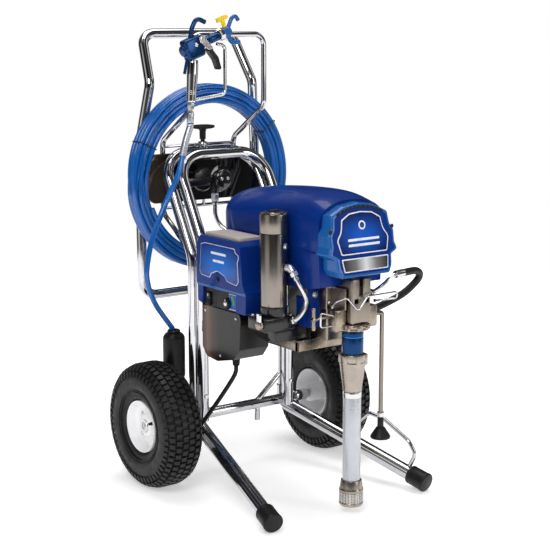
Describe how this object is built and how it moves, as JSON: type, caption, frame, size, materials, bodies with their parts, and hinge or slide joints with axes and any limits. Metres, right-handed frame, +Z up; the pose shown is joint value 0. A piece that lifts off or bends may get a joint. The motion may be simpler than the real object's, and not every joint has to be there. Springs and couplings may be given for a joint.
{
  "type": "airless paint sprayer",
  "caption": "Electric airless paint sprayer on an upright wheeled cart: piston pump with suction tube, blue covers, hose reel, control box and a parked spray gun.",
  "frame": {"origin": "middle of the footprint, on the floor", "axes": "+Z up, -Y the front where the pump hangs, +X to the right seen from the front"},
  "size_m": [0.562, 0.6505, 1.0136],
  "materials": {
    "chrome": "bright chrome plate",
    "steel": "brushed",
    "nickel": "dull nickel plate",
    "cast": "sand cast",
    "black_paint": "gloss black",
    "rubber": "matt",
    "tyre": "matt",
    "plastic": "satin black",
    "blue_cover": "satin blue",
    "blue_hose": "bright blue",
    "blue_metal": "blue anodised",
    "rim_white": "white paint",
    "pale_tube": "pale anodised",
    "yellow": "yellow",
    "grey": "grey-brown"
  },
  "bodies": {
    "cart": {"axle": "steel", "chassis_beam": "nickel", "control_box": "blue_cover", "control_lid": "grey", "cord_coil": "rubber", "cross_brace": "chrome", "drain_tube": "steel", "drive_housing": "cast", "filter_base": "black_paint", "filter_bowl": "steel", "foot_cap_left": "rubber", "foot_cap_right": "rubber", "front_cover": "blue_cover", "front_loop": "chrome", "gun_body": "blue_metal", "gun_handle": "chrome", "gun_nut": "chrome", "handle_frame": "chrome", "hose_end": "steel", "hose_guide": "plastic", "leg_left": "chrome", "leg_right": "chrome", "lower_cover": "black_paint", "mains_plug": "plastic", "motor_can": "black_paint", "motor_cover": "blue_cover", "name_plate": "steel", "outlet_pipe": "steel", "power_cord": "rubber", "pump_clamp": "nickel", "pump_cylinder": "blue_metal", "pump_hose": "rubber", "pump_intake": "nickel", "rear_loop": "chrome", "rod_guard": "chrome", "strainer": "nickel", "suction_tube": "pale_tube", "swivel_housing": "black_paint", "swivel_tube": "steel", "tip_guard": "blue_hose", "whip_hose": "blue_hose"},
    "wheel_left": {"tyre_left": "tyre", "rim_left": "rim_white"},
    "wheel_right": {"tyre_right": "tyre", "rim_right": "rim_white"},
    "reel": {"reel_drum": "black_paint", "reel_rods": "chrome", "hose_coil": "blue_hose"},
    "lock_pin": {"lock_handle": "plastic"},
    "gun_trigger": {"trigger": "plastic"},
    "tip": {"spray_tip": "yellow"},
    "knob": {"pressure_knob": "plastic"},
    "switch": {"power_switch": "plastic"},
    "valve": {"prime_valve": "nickel"},
    "crank": {"drive_gear": "steel"},
    "rotor": {"drive_rotor": "steel"},
    "piston": {"pump_rod": "steel"},
    "bail_front": {"front_bail": "chrome"},
    "bail_side": {"side_bail": "chrome"},
    "clamp_screw": {"clamp_handle": "nickel"}
  },
  "joints": [
    {"name": "wheel_left_spin", "type": "hinge", "parent": "cart", "child": "wheel_left", "pos_m": [-0.2335, 0.1023, 0.1375], "axis": [1, 0, 0], "continuous": true},
    {"name": "wheel_right_spin", "type": "hinge", "parent": "cart", "child": "wheel_right", "pos_m": [0.2335, 0.1023, 0.1375], "axis": [1, 0, 0], "continuous": true},
    {"name": "reel_spin", "type": "hinge", "parent": "cart", "child": "reel", "pos_m": [0, 0.2588, 0.65], "axis": [0, 1, 0], "continuous": true},
    {"name": "lock_pin_pull", "type": "slide", "parent": "cart", "child": "lock_pin", "axis": [0, 0, 1], "range_m": [0, 0.006], "stiffness_N_per_m": 400, "springref_m": -0.01},
    {"name": "trigger_squeeze", "type": "hinge", "parent": "cart", "child": "gun_trigger", "pos_m": [-0.09537, 0.1283, 0.96131], "axis": [0, 1, 0], "range_deg": [0, 11], "stiffness_Nm_per_rad": 0.8, "springref_deg": -20.05},
    {"name": "tip_turn", "type": "hinge", "parent": "cart", "child": "tip", "pos_m": [-0.02194, 0.1283, 0.97474], "axis": [-0.342, 0, 0.9397], "range_deg": [0, 180]},
    {"name": "knob_turn", "type": "hinge", "parent": "cart", "child": "knob", "pos_m": [-0.163, -0.0667, 0.423], "axis": [-1, 0, 0], "range_deg": [0, 270]},
    {"name": "switch_rock", "type": "hinge", "parent": "cart", "child": "switch", "pos_m": [-0.154, 0.0013, 0.423], "axis": [0, 1, 0], "range_deg": [0, 7]},
    {"name": "prime_turn", "type": "hinge", "parent": "cart", "child": "valve", "pos_m": [-0.1645, -0.1957, 0.4], "axis": [1, 0, 0], "range_deg": [0, 90]},
    {"name": "rotor_spin", "type": "hinge", "parent": "cart", "child": "rotor", "pos_m": [0, -0.0477, 0.57], "axis": [0, 1, 0], "continuous": true},
    {"name": "crank_spin", "type": "hinge", "parent": "cart", "child": "crank", "pos_m": [0, -0.1977, 0.5309], "axis": [0, 1, 0], "continuous": true},
    {"name": "piston_stroke", "type": "slide", "parent": "cart", "child": "piston", "axis": [0, 0, 1], "range_m": [-0.028, 0]},
    {"name": "front_bail_lift", "type": "hinge", "parent": "cart", "child": "bail_front", "pos_m": [0, -0.2837, 0.4385], "axis": [-1, 0, 0], "range_deg": [0, 12]},
    {"name": "side_bail_swing", "type": "hinge", "parent": "cart", "child": "bail_side", "pos_m": [-0.0555, -0.2897, 0.412], "axis": [0, 0, 1], "range_deg": [0, 80]},
    {"name": "clamp_turn", "type": "hinge", "parent": "cart", "child": "clamp_screw", "pos_m": [-0.077, -0.2777, 0.418], "axis": [1, 0, 0], "continuous": true}
  ],
  "couplings": [
    {"joint": "crank_spin", "follows": "rotor_spin", "ratio": -0.28333}
  ]
}
